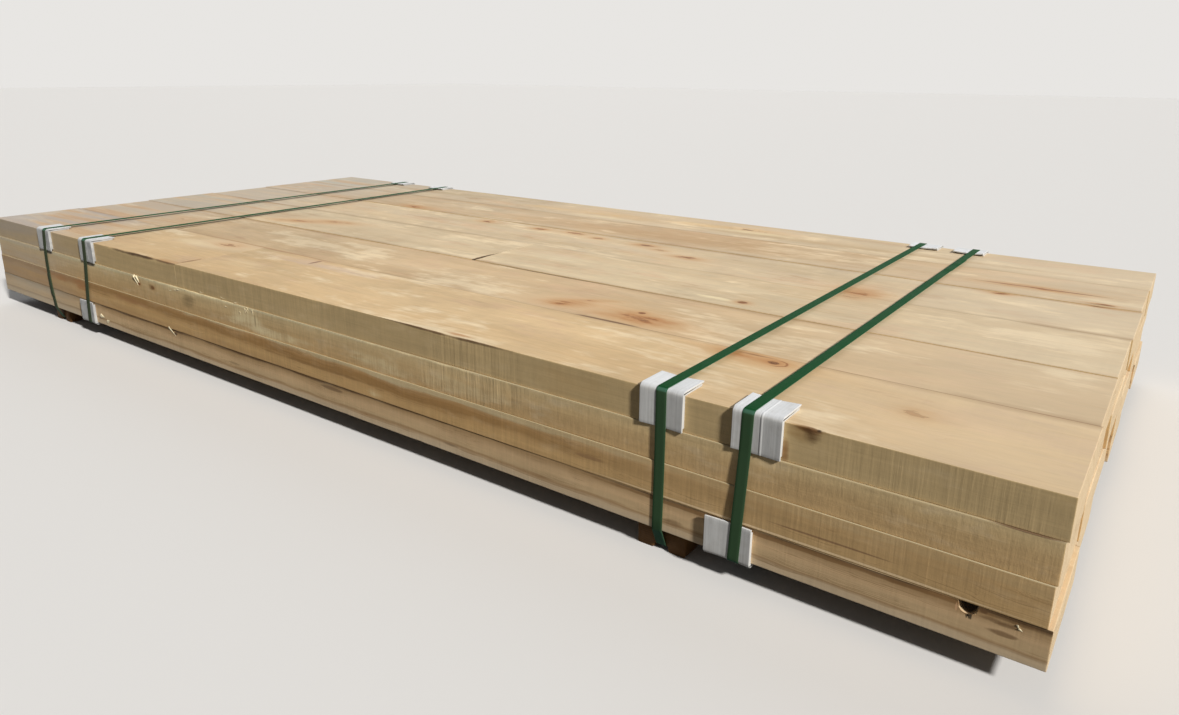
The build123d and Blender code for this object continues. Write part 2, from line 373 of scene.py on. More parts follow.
        # Bands by height, upright saw marks, fur
        edge, furry = self.edge, self.edge["furry"]
        waver = self.field("waver")
        climb = self.x * edge["climb"] + (self.drift[2] - 0.5) * 0.22 + self.streaks * 0.16
        climb = climb + (waver - 0.5) * edge["wavy"]
        share = (self.z - self.low.z) / (self.high.z - self.low.z) + climb
        self.colour = self.add("ShaderNodeValToRGB", dict(stops=edge["stops"]), {0: share})
        if "fade" in edge:
            start, stop, even = edge["fade"]
            self.over(self.step(self.x, start, stop) * 0.85, even)
        fineLine = self.ridge(self.lineNoise(share * 13 + self.seed * 5, 3.0), 0.5, 0.035, 0.004)
        fineLine = fineLine * self.step(waver + self.streaks * 0.4, 0.44, 0.60) * edge["lines"]
        self.over(fineLine, self.shade["lineBrown"])
        self.chatter, self.coarse, self.fur, self.mottle = map(self.field, ("chatter", "coarse", "fur", "mottle"))
        self.patchy = self.step(self.field("patchy"), 0.36, 0.62)
        sawDepth = 0.20 + self.patchy * 0.36
        for mark in self.marks:
            if mark.sawn:
                sawDepth = sawDepth + self.reach(mark) * mark.sawn
        self.sawn = (self.chatter * 0.6 + self.coarse * 0.4 - 0.5) * sawDepth
        self.paint(self.mottle, 0.50, 0.78, 0.26 * furry, "cream")
        tone = 0.91 + self.blotch * 0.28 + self.sawn * 1.1 + (self.fur - 0.5) * (0.22 * furry)
        self.colour = self.tinted(self.colour, tone + (self.mottle - 0.5) * 0.22 + self.streaks * 0.34)
        if self.weathered:
            self.over(self.weathered, edge["grey"])

    def endGrain(self, jointEnd):
        # The rings show strongly, with a few radial checks, and an end within a joint is dark
        shade = self.shade
        turn = self.acrossPith.maths("ARCTAN2", self.abovePith)
        checks = self.ridge(self.lineNoise(turn * 34 + self.seed), 0.5, 0.007, 0.0)
        self.checks = checks * self.step(self.lineNoise(self.rings * 16 + self.seed * 3), 0.52, 0.62) * 0.7
        self.colour = self.blend(self.late, shade["endPale"], shade["endDark"])
        self.paint(self.lineNoise(self.rings * 62 + self.seed * 11, 3.0), 0.4, 0.7, 0.32, "endDark")
        self.over(self.checks, shade["crack"])
        if jointEnd:
            fromJoint = ((self.high.x if jointEnd > 0 else self.low.x) - self.x) * jointEnd
            self.paint(fromJoint, 0.03, 0.02, 0.93, "crack")

    def knotty(self):
        shade = self.shade
        for knot, spread in zip(self.knots, self.spreads):
            if knot.light:
                self.over(self.fall(spread, 0.35) * knot.light, shade["cream"])
            glow = self.fall(spread, 0.55) * (0.30 + self.streak * 0.5) * knot.strength
            self.over(glow.maths("MINIMUM", 1), shade["knotGlow"])
            halo = self.fall(spread, 1.7) * (0.35 + self.streak * 1.1) * (0.9 * knot.strength)
            self.over(halo.maths("MINIMUM", 1), knot.halo or shade["knotHalo"])
            core = self.step(spread, knot.core, knot.core * 0.3)
            eye = self.step(self.lineNoise(spread * 16 + self.seed), 0.4, 0.62)
            self.over(core * knot.dark, self.blend(eye, shade["knotCore"], shade["knotDark"]))
            if knot.ringed:
                oneSide = self.step(self.x, knot.x - knot.long * 0.2, knot.x + knot.long * 0.5)
                rim = self.ridge(spread, 0.62, 0.20, 0.02)
                self.over(rim * oneSide * knot.ringed, shade["knotCore"])

    def marked(self):
        for mark in self.marks:
            if mark.sawn:
                continue
            here = self.reach(mark) * mark.strength
            if mark.furry:
                tufts = self.chatter * 0.45 + self.coarse * 0.20 + self.mottle * 0.35
                here = here * (0.45 + self.step(tufts, 0.42, 0.57) * 0.55)
            self.over(here, mark.colour)

    def finish(self, pith, jointEnd=0, weathers=True):
        self.grow(pith)
        self.wideFace()
        self.weathered = None
        if weathers:
            self.weather()
        wide = self.colour
        self.sawnEdge()
        faceSaw = self.field("faceSaw") * self.patchy
        sawnFace = self.tinted(self.blend(self.isSide, wide, self.colour), 0.985 + faceSaw * self.isWide * 0.05)
        self.endGrain(jointEnd)
        self.colour = self.blend(self.isEnd, sawnFace, self.colour)
        self.knotty()
        self.marked()
        edgeHeight = self.sawn * 1.5 + (self.fur - 0.5) * (0.32 * self.edge["furry"])
        height = self.streak * 0.3 + edgeHeight * self.isSide + faceSaw * self.isWide * 0.3 - self.checks * self.isEnd
        shine = self.shade["shine"] + self.streak * 0.12 + self.isSide * 0.06
        return self.surface(self.colour, shine, self.bump(height, *self.shade["relief"]))


# Boards
packHalf = 0.5  # a side of a board that is further out than this lies on the pack's outside
sawing = dict(
    step=0.008, backStep=0.012, innerStep=0.045, jointedAcross=0.02, across=0.03, upwards=0.01,
    margins=(0.0, 0.0006, 0.0014, 0.0032, 0.0065, 0.0115), nearest=0.0004,
    reach=0.0005,  # how much of the gap beside a board its edges take up
    edge=0.0007, rag=0.0016, fray=0.0004, wave=0.0005,
    closed=0.0003,  # what is left of an end joint where it is shut
    mouthLong=0.02,
)
# How an end joint of the top layer opens: its widest, at the row's front edge, and how far back it shuts
jointMouths = {1: (0.0006, 0.075), 2: (0.0040, 0.036), 3: (0.0090, 0.095), 4: (0.0032, 0.07)}

# A knot has its place on the wide face (x, y) or, with z, on the sawn edge
Knot = namedtuple(
    "Knot", "x y long wide strength core dark z tilt light ragged swell ringed halo",
    defaults=(None, 0, 0, 1.6, 1, 0, None),
)
knotsOf = {
    "layer_4_board_1_left": [
        Knot(-0.47, -0.42, 0.069, 0.028, 0.6, 0.1, 0.5, tilt=0.12, light=0.9),
    ],
    "layer_4_board_1_right": [
        Knot(0.866, -0.411, 0.075, 0.024, 0.95, 0.0, 0.75, swell=1.3),
        Knot(0.906, -0.416, 0.026, 0.017, 0.9, 0.14, 0.9, ragged=0.5, ringed=0.9),
        Knot(1.127, -0.482, 0.034, 0.025, 0.35, 0.05, 0.3),
    ],
    "layer_4_board_2_left": [
        Knot(-0.9, -0.3, 0.057, 0.025, 0.3, 0.05, 0.3),
    ],
    "layer_4_board_2_right": [
        Knot(0.47, -0.338, 0.048, 0.025, 1.1, 0.12, 0.6, tilt=0.25, light=0.3),
        Knot(0.505, -0.295, 0.039, 0.012, 0.65, 0.05, 0.5, tilt=0.55),
        Knot(0.632, -0.342, 0.08, 0.034, 1.25, 0.12, 0.6),
        Knot(0.615, -0.312, 0.011, 0.01, 0.9, 0.5, 0.95, ragged=0.8),
    ],
    "layer_4_board_3_left": [
        Knot(-0.6, -0.11, 0.098, 0.025, 1.15, 0.1, 0.6, tilt=0.35, light=0.5),
        Knot(-0.52, -0.068, 0.069, 0.02, 1.05, 0.12, 0.6, tilt=0.15, light=0.4),
    ],
    "layer_4_board_3_right": [
        Knot(0.724, -0.145, 0.016, 0.012, 0.9, 0.5, 0.9, ragged=0.8),
        Knot(0.868, 0.018, 0.034, 0.025, 0.5, 0.05, 0.4),
    ],
    "layer_4_board_4_right": [
        Knot(-0.032, 0.2, 0.037, 0.016, 0.95, 0.2, 0.7, light=0.3),
        Knot(0.08, 0.206, 0.046, 0.019, 0.85, 0.15, 0.6),
        Knot(0.16, 0.19, 0.034, 0.016, 0.8, 0.15, 0.6, light=0.5),
        Knot(-0.221, 0.2, 0.03, 0.019, 0.95, 0.22, 0.8),
        Knot(0.305, 0.184, 0.039, 0.02, 0.95, 0.25, 0.8),
        Knot(0.36, 0.16, 0.034, 0.016, 0.6, 0.1, 0.5, light=0.5),
        Knot(0.45, 0.126, 0.053, 0.019, 0.85, 0.2, 0.7, light=0.4),
        Knot(0.872, 0.056, 0.048, 0.041, 0.95, 0.1, 0.4),
        Knot(1.082, 0.222, 0.03, 0.016, 0.85, 0.3, 0.7),
        Knot(1.25, 0.229, 0.046, 0.01, 0.75, 0.3, 0.8),
    ],
    "layer_4_board_5": [
        Knot(-0.56, 0.248, 0.069, 0.025, 0.85, 0.15, 0.6),
        Knot(1.25, 0.243, 0.034, 0.009, 0.6, 0.2, 0.7),
        Knot(1.123, 0.305, 0.103, 0.02, 0.8, 0.02, 0.3),
    ],
    "layer_4_board_6": [
        Knot(-0.02, 0.5, 0.172, 0.041, 0.4, 0.0, 0.75, halo=(0.72, 0.47, 0.2)),
        Knot(0.42, 0.53, 0.126, 0.032, 0.45, 0.02, 0.75, halo=(0.72, 0.45, 0.18)),
    ],
    "layer_3_board_1": [
        Knot(-0.541, None, 0.009, 0.006, 0.9, 0.4, 0.9, z=0.172),
        Knot(-0.483, None, 0.013, 0.007, 0.8, 0.25, 0.7, z=0.172),
    ],
}

# Stains, scars, furry patches, and some painted shade and painted highlights: middle and half size along x, y and z
Mark = namedtuple(
    "Mark", "x y z colour strength ragged soft streaky furry sawn", defaults=(None, 1.0, 1.2, 0.25, 1.0, False, 0),
)
through = None
top, thinTop, lowTop, highTop = (0.2405, 0.004), (0.2405, 0.003), (0.240, 0.004), (0.241, 0.004)
front = (-0.610, 0.006)
barkBrown, darkSeam, jointLine = (0.060, 0.030, 0.013), (0.17, 0.095, 0.045), (0.29, 0.17, 0.085)
furPale, dimStep = (0.98, 0.82, 0.49), (0.45, 0.375, 0.225)
marksOf = {
    "layer_4_board_1_left": [
        Mark((-0.56, 0.12), (-0.455, 0.03), top, (0.8, 0.66, 0.42), 0.6, soft=-0.6),
        Mark((-0.545, 0.165), (-0.6065, 0.0062), (0.2405, 0.008), barkBrown, 0.97, 0.9, streaky=0.5),
        Mark((-0.43, 0.085), (-0.6065, 0.005), (0.2405, 0.0064), darkSeam, 0.92, 0.9, streaky=0.5),
        Mark((-0.41, 0.05), (-0.598, 0.01), thinTop, (0.5, 0.29, 0.13), 0.6),
        Mark((-0.378, 0.006), (-0.57, 0.04), thinTop, jointLine, 0.9, 0.8),
    ],
    "layer_4_board_1_right": [
        Mark((-0.13, 0.26), (-0.425, 0.026), top, (0.57, 0.42, 0.33), 0.75, soft=-0.5),
        Mark((-0.27, 0.1), (-0.51, 0.03), top, (0.77, 0.62, 0.38), 0.6, soft=-0.7),
        Mark((0.455, 0.04), (-0.5965, 0.0075), through, (0.47, 0.22, 0.085), 0.85, 1.8, soft=-0.2),
        Mark((0.43, 0.19), (-0.6065, 0.0034), (0.24, 0.0052), (0.13, 0.068, 0.03), 0.9, 0.9, streaky=0.6),
        Mark((0.87, 0.042), (-0.4, 0.004), thinTop, (0.25, 0.12, 0.045), 0.8, 1.0, soft=-0.2),
        Mark((1.036, 0.015), (-0.603, 0.004), (0.244, 0.004), (0.86, 0.58, 0.36), 0.7, 2.2),
        Mark((1.03, 0.028), (-0.5985, 0.007), (0.244, 0.004), (0.6, 0.34, 0.16), 0.75, 1.8, soft=-0.2),
        Mark((1.032, 0.028), (-0.606, 0.005), (0.237, 0.02), (0.44, 0.25, 0.085), 0.7, 1.8, soft=-0.5),
        Mark((1.035, 0.018), (-0.606, 0.006), (0.2385, 0.005), (0.17, 0.078, 0.022), 0.97, 1.6, soft=-0.3),
        Mark((1.041, 0.013), (-0.606, 0.006), (0.233, 0.015), (0.1, 0.046, 0.015), 0.97, 1.4, soft=-0.5),
        Mark((1.048, 0.0042), (-0.6056, 0.0042), (0.241, 0.0038), (0.045, 0.022, 0.01), 0.9, 1.4),
        Mark((1.009, 0.006), (-0.606, 0.005), (0.203, 0.02), (0.3, 0.14, 0.045), 0.8, 1.8, soft=-0.3),
        Mark((-0.378, 0.006), (-0.57, 0.04), thinTop, jointLine, 0.9, 0.8),
        Mark((0.68, 0.09), (-0.606, 0.004), (0.212, 0.03), (0.6, 0.39, 0.17), 0.55, 1.8, soft=-0.8),
        Mark((0.595, 0.075), (-0.3895, 0.004), lowTop, darkSeam, 0.8, 0.7),
        Mark((-0.157, 0.006), (-0.413, 0.022), thinTop, (0.24, 0.12, 0.07), 0.85, 0.5),
        Mark((0.487, 0.115), (-0.6055, 0.004), through, ragged=0.5, sawn=0.7),
        Mark((1.18, 0.14), (-0.6055, 0.004), through, ragged=0.5, sawn=0.4),
    ],
    "layer_4_board_2_left": [
        Mark((-0.77, 0.006), (-0.345, 0.04), (0.2395, 0.003), (0.12, 0.065, 0.03), 0.9, 0.6),
    ],
    "layer_4_board_3_left": [
        Mark((-0.4, 0.36), (-0.08, 0.1), top, (0.6, 0.455, 0.285), 0.6, soft=-0.6),
        # Painted shade on the top beside the end joint's open gap
        Mark((0.0885, 0.0055), (-0.15, 0.046), thinTop, (0.1, 0.06, 0.03), 0.9, 0.5),
    ],
    "layer_4_board_3_right": [
        Mark((0.21, 0.13), (-0.045, 0.045), top, (0.74, 0.65, 0.46), 0.6, soft=-0.8),
        Mark((0.41, 0.09), (-0.095, 0.03), top, (0.78, 0.68, 0.46), 0.6, soft=-0.8),
        Mark((0.66, 0.05), (-0.147, 0.012), top, (0.88, 0.75, 0.48), 0.8, 2.4, soft=-0.2),
        # Painted shade on the top beside the end joint's open gap
        Mark((0.0885, 0.01), (-0.165, 0.034), thinTop, (0.14, 0.085, 0.04), 0.8, 0.9),
    ],
    "layer_4_board_4_left": [
        Mark((-0.798, 0.006), (0.2, 0.04), thinTop, (0.14, 0.08, 0.04), 0.85, 0.8),
    ],
    "layer_4_board_2_right": [
        Mark((-0.4, 0.34), (-0.387, 0.0065), lowTop, (0.46, 0.27, 0.135), 0.8, 0.8),
        Mark((0.36, 0.28), (-0.184, 0.006), lowTop, (0.135, 0.08, 0.04), 0.95, 0.7),
        Mark((0.595, 0.075), (-0.386, 0.005), lowTop, darkSeam, 0.9, 0.7),
        Mark((1.12, 0.17), (-0.1835, 0.003), lowTop, (0.3, 0.15, 0.08), 0.7),
    ],
    "layer_4_board_5": [
        Mark((1.15, 0.15), (0.305, 0.004), highTop, (0.24, 0.11, 0.05), 0.8),
        Mark((0.35, 0.6), (0.33, 0.1), highTop, (0.5, 0.315, 0.158), 0.8, soft=-0.5),
        Mark((1.245, 0.03), (0.239, 0.0026), highTop, (0.17, 0.085, 0.035), 0.75),
    ],
    "layer_4_board_6": [
        Mark((-0.26, 0.13), (0.495, 0.03), highTop, (0.7, 0.47, 0.2), 0.6, soft=-0.6),
        Mark((-0.01, 0.15), (0.458, 0.02), highTop, (0.82, 0.7, 0.47), 0.75, soft=-0.5),
        Mark((0.27, 0.15), (0.52, 0.03), highTop, (0.72, 0.48, 0.19), 0.65, soft=-0.6),
        Mark((0.44, 0.14), (0.5, 0.022), highTop, (0.84, 0.72, 0.45), 0.75, soft=-0.5),
        Mark((0.7, 0.75), (0.475, 0.02), lowTop, (0.5, 0.34, 0.18), 0.6, soft=-0.4),
    ],
    "layer_3_board_1": [
        Mark(through, (-0.609, 0.006), (0.1895, 0.0012), dimStep, 0.75, 0.5, streaky=0.8),
        # Painted shadows cast by the two left top protectors below their feet
        Mark((-1.004, 0.034), front, (0.185, 0.0058), (0.1, 0.088, 0.075), 0.85, 0.6, streaky=0.3),
        Mark((-0.774, 0.034), front, (0.185, 0.0058), (0.1, 0.085, 0.068), 0.85, 0.6, streaky=0.3),
        Mark((-0.335, 0.036), through, (0.166, 0.017), (0.3, 0.21, 0.1), 0.85, 1.2, soft=-0.3),
        Mark((-0.487, 0.016), through, (0.172, 0.007), (0.22, 0.13, 0.05), 0.75, 2.2, soft=-0.3),
        Mark((-0.125, 0.07), through, (0.163, 0.026), furPale, 0.95, 1.6, soft=-0.1, furry=True),
        Mark((-0.29, 0.2), through, (0.188, 0.009), furPale, 0.7, 1.3, soft=-0.2, furry=True),
        Mark((-0.02, 0.13), through, (0.149, 0.012), furPale, 0.85, 1.6, soft=-0.1, furry=True),
        Mark((0.27, 0.1), through, (0.156, 0.018), furPale, 0.75, 1.8, soft=-0.2, furry=True),
        Mark((0.47, 0.13), through, (0.158, 0.022), furPale, 0.5, 1.8, soft=-0.25, furry=True),
        Mark((-0.092, 0.0026), through, (0.166, 0.016), (0.26, 0.17, 0.08), 0.55, 0.6, streaky=0.2),
        Mark((0.49, 0.14), through, (0.165, 0.04), ragged=0.5, sawn=0.9),
        # Painted shade along the top, under the board above, towards the right end
        Mark((1.275, 0.045), through, (0.1905, 0.0026), (0.16, 0.09, 0.045), 0.9, 0.4),
    ],
    "layer_2_board_1": [
        Mark(through, (-0.609, 0.006), (0.139, 0.0012), dimStep, 0.75, 0.5, streaky=0.8),
        Mark((-0.95, 0.1), through, (0.126, 0.012), (0.52, 0.25, 0.1), 0.7, 2.0, soft=-0.4),
        Mark((-0.845, 0.045), through, (0.122, 0.018), (0.5, 0.23, 0.09), 0.75, 2.6, soft=-0.3),
        Mark((-0.6, 0.12), through, (0.124, 0.01), (0.47, 0.235, 0.1), 0.6, 2.4, soft=-0.4),
        Mark((0.256, 0.026), through, (0.099, 0.009), furPale, 0.85, 2.0, soft=-0.6, furry=True),
        Mark((0.1, 0.28), through, (0.113, 0.004), (0.26, 0.14, 0.05), 0.65, 2.2, soft=-0.4),
        # Painted highlight along the lower front arris towards the right end
        Mark((1.02, 0.32), front, (0.0912, 0.0017), (0.96, 0.72, 0.43), 0.95, 0.5),
        Mark((1.07, 0.09), through, (0.106, 0.0016), (0.26, 0.14, 0.07), 0.75, 0.5),
        Mark((0.72, 0.03), through, (0.112, 0.004), (0.34, 0.19, 0.09), 0.6),
    ],
    "layer_1_board_1": [
        Mark((-1.02, 0.34), front, (0.0885, 0.0045), (0.56, 0.42, 0.26), 0.8, 0.8),
        # Painted highlight along the top front arris, and below it a band of painted shade
        Mark((0.98, 0.34), front, (0.0885, 0.0014), (0.86, 0.62, 0.34), 0.85, 0.4),
        Mark((1.0, 0.4), front, (0.083, 0.0036), (0.24, 0.125, 0.045), 0.75, 1.6),
        Mark((1.215, 0.06), front, (0.08, 0.013), (0.42, 0.23, 0.09), 0.6, 2.4, soft=-0.6),
        Mark((1.2208, 0.0018), (-0.61, 0.004), (0.0785, 0.0065), (0.78, 0.47, 0.25), 0.85, 1.4),
        # Painted shade inside the knot hole
        Mark((1.2335, 0.014), (-0.5955, 0.013), (0.08, 0.02), (0.022, 0.012, 0.007), 0.97, 0.5, streaky=0.2),
        Mark((1.264, 0.026), front, (0.0775, 0.0044), (0.17, 0.09, 0.035), 0.85, 3.2, soft=-0.2),
        Mark((1.268, 0.018), front, (0.0655, 0.0034), (0.19, 0.1, 0.04), 0.7, 3.2, soft=-0.2),
        Mark((1.248, 0.006), front, (0.085, 0.0045), (0.16, 0.085, 0.035), 0.85, 1.6),
        Mark((-0.183, 0.024), front, (0.06, 0.0032), (0.2, 0.12, 0.07), 0.55, 2.0, soft=-0.3),
        Mark((0.439, 0.022), front, (0.052, 0.003), (0.18, 0.11, 0.06), 0.6, 2.0, soft=-0.3),
        Mark((0.861, 0.018), front, (0.056, 0.006), (0.22, 0.12, 0.05), 0.7, 2.0, soft=-0.3),
        Mark((0.14, 0.04), front, (0.079, 0.004), (0.2, 0.12, 0.06), 0.7),
        Mark((-0.404, 0.008), front, (0.08, 0.0045), (0.1, 0.055, 0.025), 0.85, 1.0),
    ],
}

# Middle, half length and depth of each shallow scoop out of a board's upper front edge
waneOf = {
    "layer_4_board_1_left": [(-0.560, 0.150, 0.0022), (-0.440, 0.080, 0.0014)],
    "layer_4_board_1_right": [(0.432, 0.058, 0.0014), (1.047, 0.009, 0.0018)],
    "layer_1_board_1": [(-0.416, 0.015, 0.0030)],
}
# Middle, half length and depth of a torn upper front edge
tornEdges = {
    "layer_3_board_1": [(-0.30, 0.24, 0.0030), (0.35, 0.20, 0.0015)],
    "layer_2_board_1": [(0.25, 0.05, 0.0015)],
}
# Where a board's stations are closer along X: middle, half length and step
closeUps = {
    "layer_1_board_1": [(1.244, 0.040, 0.0012)],
    "layer_4_board_1_right": [(1.044, 0.020, 0.0014)],
}
arcDepth = math.sqrt(2) - 1  # how deep a rounding of radius 1 cuts into the corner
knotHole = dict(board="layer_1_board_1", x=1.232, radius=0.0105, deep=0.018, drop=0.004, rough=0.12)


def stationsAlong(low, high, step, focus=()):
    margins = sawing["margins"]
    places = [low + m for m in margins] + [high - m for m in margins]
    count = max(1, round((high - low) / step))
    places += [low + (high - low) * i / count for i in range(1, count)]
    for middle, half, pitch in focus:
        steps = round(2 * half / pitch)
        places += [middle - half + pitch * i for i in range(steps + 1)]
    kept = []
    for place in sorted(places):
        if low <= place <= high and (not kept or place - kept[-1] > sawing["nearest"]):
            kept.append(place)
    kept[-1] = high
    return kept


def edgesAlong(shape, axis, least):
    return [e for e in shape.edges if abs(e.verts[0].co[axis] - e.verts[1].co[axis]) > least]


def longEdges(edges, least, most=math.inf):
    return [e for e in edges if least < e.calc_length() < most]


def cut(shape, edges, cuts, fill=True):
    bmesh.ops.subdivide_edges(shape, edges=edges, cuts=cuts, use_grid_fill=fill)


def gridBox(stations):
    shape = bmesh.new()
    bmesh.ops.create_cube(shape, size=1.0)
    for axis in range(3):
        cut(shape, edgesAlong(shape, axis, 0.5), len(stations[axis]) - 2)
    for vert in shape.verts:
        for axis in range(3):
            last = len(stations[axis]) - 1
            vert.co[axis] = stations[axis][round((vert.co[axis] + 0.5) * last)]
    return shape


def linked(name, data):
    made = bpy.data.objects.new(name, data)
    scene.collection.objects.link(made)
    return made


def finished(shape, name, material, replaced=(), smooth=True, rounding=0):
    mesh = bpy.data.meshes.new(name)
    if smooth:
        for face in shape.faces:
            face.smooth = True
    shape.to_mesh(mesh)
    shape.free()
    piece = linked(name, mesh)
    mesh.materials.append(material)
    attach(piece, "root")
    if replaced:
        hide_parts(*replaced)
    if rounding:
        roundEdges(piece, rounding)
    return piece


def roundEdges(piece, width):
    rounding = piece.modifiers.new("rounding", "BEVEL")
    rounding.width = width
    rounding.segments = 2
    rounding.limit_method = "ANGLE"
    rounding.angle_limit = math.radians(50)


def extruded(grown, kind=bmesh.types.BMVert):
    return [g for g in grown["geom"] if isinstance(g, kind)]


def layerAndRow(node):
    # From a name like layer_4_board_2_left
    return int(node[6]), int(node[14])


def edgeRadius(node, number, co, frontEdge, topEdge):
    # The rounding of the arris here: worn all along, scooped by wane, torn in places
    key = Vector((co.x * 26, number * 3.7 + 5 * frontEdge, 7 * topEdge))
    rough = noise.noise(key)
    finer = noise.noise(key * 5.3)
    radius = sawing["edge"] + sawing["rag"] * max(0.0, rough) ** 2 + sawing["fray"] * max(0.0, finer)
    if frontEdge and topEdge:
        for place, half, depth in waneOf.get(node, ()):
            away = (co.x - place) / half
            if abs(away) < 1:
                radius += depth * (1 - away * away) * (1 + 0.35 * rough) / arcDepth
        for place, half, depth in tornEdges.get(node, ()):
            away = (co.x - place) / half
            if abs(away) < 1:
                radius += depth * (1 - away**4) * max(0.0, 0.3 + noise.noise(key * 2.2) + 0.5 * finer)
    return radius


def makeBoard(node, number, material):
    low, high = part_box(node)
    layer, row = layerAndRow(node)
    shown = layer == 4 or row == 1
    lengthStep = sawing["step" if shown else "backStep" if row == 6 else "innerStep"]
    front = low.y
    for side, amount in ((low, -1), (high, 1)):
        if abs(side.y) < packHalf:
            side.y += amount * sawing["reach"]
    if node.endswith("_right"):
        low.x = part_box(node[:-6] + "_left")[1].x + sawing["closed"]
    shape = gridBox([
        stationsAlong(low.x, high.x, lengthStep, closeUps.get(node, ())),
        stationsAlong(low.y, high.y, sawing["jointedAcross" if row in jointMouths else "across"]),
        stationsAlong(low.z, high.z, sawing["upwards"]),
    ])
    middle = (low + high) / 2
    for vert in shape.verts:
        co = vert.co.copy()
        frontEdge, topEdge = co.y < middle.y, co.z > middle.z
        radius = edgeRadius(node, number, co, frontEdge, topEdge)
        inner = Vector([min(max(c, l + radius), h - radius) for c, l, h in zip(co, low, high)])
        out = co - inner
        if sum(abs(part) > 1e-6 for part in out) > 1:
            co = inner + out.normalized() * radius
        if node.endswith("_right"):
            # The joint opens towards the row's front edge
            widest, run = jointMouths[row]
            opening = widest * max(0.0, 1 - (co.y - front) / run)
            co.x += opening * max(0.0, 1 - (co.x - low.x) / sawing["mouthLong"])
        # The sawn faces are a little uneven
        slow = noise.noise(Vector((co.x * 3.1, number * 1.9, 1.0 + 3 * frontEdge)))
        faceY = abs(vert.co.y - middle.y) / (high.y - low.y) * 2
        co.y += sawing["wave"] * slow * faceY ** 4
        faceZ = abs(vert.co.z - middle.z) / (high.z - low.z) * 2
        co.z += sawing["wave"] * 0.5 * noise.noise(Vector((co.x * 2.3, co.y * 9, number))) * faceZ ** 4
        if node == knotHole["board"]:
            sinkKnotHole(co, low, high)
        vert.co = co
    shape.normal_update()
    return finished(shape, "sawn_" + node, material, [node])


def sinkKnotHole(co, low, high):
    # A notch in the upper front edge, round below and closed behind
    fromMiddle = co.x - knotHole["x"]
    radius = knotHole["radius"] * (1 + knotHole["rough"] * noise.noise(co * 160))
    behind = co.y - low.y
    if abs(fromMiddle) < radius and behind <= knotHole["deep"]:
        bottom = high.z - knotHole["drop"] - math.sqrt(radius**2 - fromMiddle**2)
        shallower = 1 - (behind / knotHole["deep"]) ** 4
        co.z = min(co.z, high.z - (high.z - bottom) * shallower)


boardNodes = sorted(name for name in nodes if name.startswith("layer_"))
random.seed(41)
for number, node in enumerate(boardNodes):
    layer, row = layerAndRow(node)
    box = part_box(node)
    middle = (box[0] + box[1]) / 2
    under = random.choice((-1, 1)) if layer < 4 else -1
    pith = (middle.y + random.uniform(-0.07, 0.07), middle.z + under * random.uniform(0.06, 0.16))
    jointEnd = 1 if node.endswith("_left") else -1 if node.endswith("_right") else 0
    wood = Cedar(
        "cedar_" + node, rowTones[row], layerEdges[layer], box, random.uniform(1, 9),
        knotsOf.get(node, ()), marksOf.get(node, ()),
    )
    makeBoard(node, number, wood.finish(pith, jointEnd))
print("boards sawn:", len(boardNodes))


# Chips and splinters that stand off the sawn edges: board, place on its front, size, lean, how many, how far spread
Chip = namedtuple("Chip", "node x z size lean count spread")
chips = dict(
    seed=7, colour=(0.86, 0.76, 0.52), turnSpread=0.35, lift=(0.02, 0.16), rough=0.4,
    places=[
        Chip("layer_3_board_1", -0.549, 0.178, (0.036, 0.0050, 0.008), 1.1, 3, 0.005),
        Chip("layer_3_board_1", -0.105, 0.180, (0.014, 0.0010, 0.0022), 1.3, 5, 0.050),
        Chip("layer_3_board_1", -0.300, 0.186, (0.016, 0.0010, 0.0020), 0.2, 8, 0.150),
        Chip("layer_1_board_1", -0.743, 0.057, (0.018, 0.0040, 0.0090), 0.3, 2, 0.002),
        Chip("layer_1_board_1", -0.719, 0.053, (0.018, 0.0040, 0.0090), -0.2, 2, 0.002),
        Chip("layer_1_board_1", -0.418, 0.082, (0.040, 0.0036, 0.006), 0.60, 1, 0.001),
        Chip("layer_1_board_1", 1.2850, 0.0780, (0.010, 0.0016, 0.0030), 0.9, 2, 0.002),
    ],
)


def chipWood():
    f = Finish(bpy.data.materials.new("torn_wood"))
    fibre = f.grainy(f.coordinates(), (300, 300, 300), (0, 3, 1))
    return f.surface(f.tinted(chips["colour"], 0.75 + fibre * 0.5), 0.85, specular=0.2)


def makeChips(material):
    random.seed(chips["seed"])
    for number, chip in enumerate(chips["places"], 1):
        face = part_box(chip.node)[0].y
        shape = bmesh.new()
        for _ in range(chip.count):
            long, thick, wide = (size * random.uniform(0.6, 1.1) for size in chip.size)
            middle = Vector((
                chip.x + random.uniform(-1, 1) * chip.spread, face,
                chip.z + random.uniform(-1, 1) * min(chip.spread, 0.010),
            ))
            # A blade that tapers to a point, with its root in the wood
            turn = Matrix.Rotation(chip.lean + random.uniform(-1, 1) * chips["turnSpread"], 4, "Y")
            lift = Matrix.Rotation(random.uniform(*chips["lift"]), 4, "Z")
            blade = bmesh.ops.create_cone(
                shape, cap_ends=True, segments=5, radius1=0.5, radius2=0.08, depth=1.0,
                matrix=Matrix.Translation(middle) @ turn @ lift @ Matrix.Diagonal((long, thick, wide, 1))
                @ Matrix.Rotation(math.pi / 2, 4, "Y"),
            )
            for vert in blade["verts"]:
                vert.co += noise.noise_vector(vert.co * 300) * thick * chips["rough"]
        bmesh.ops.recalc_face_normals(shape, faces=shape.faces[:])
        finished(shape, f"splinters_{number}", material, smooth=False)


makeChips(chipWood())
print("splinters made")


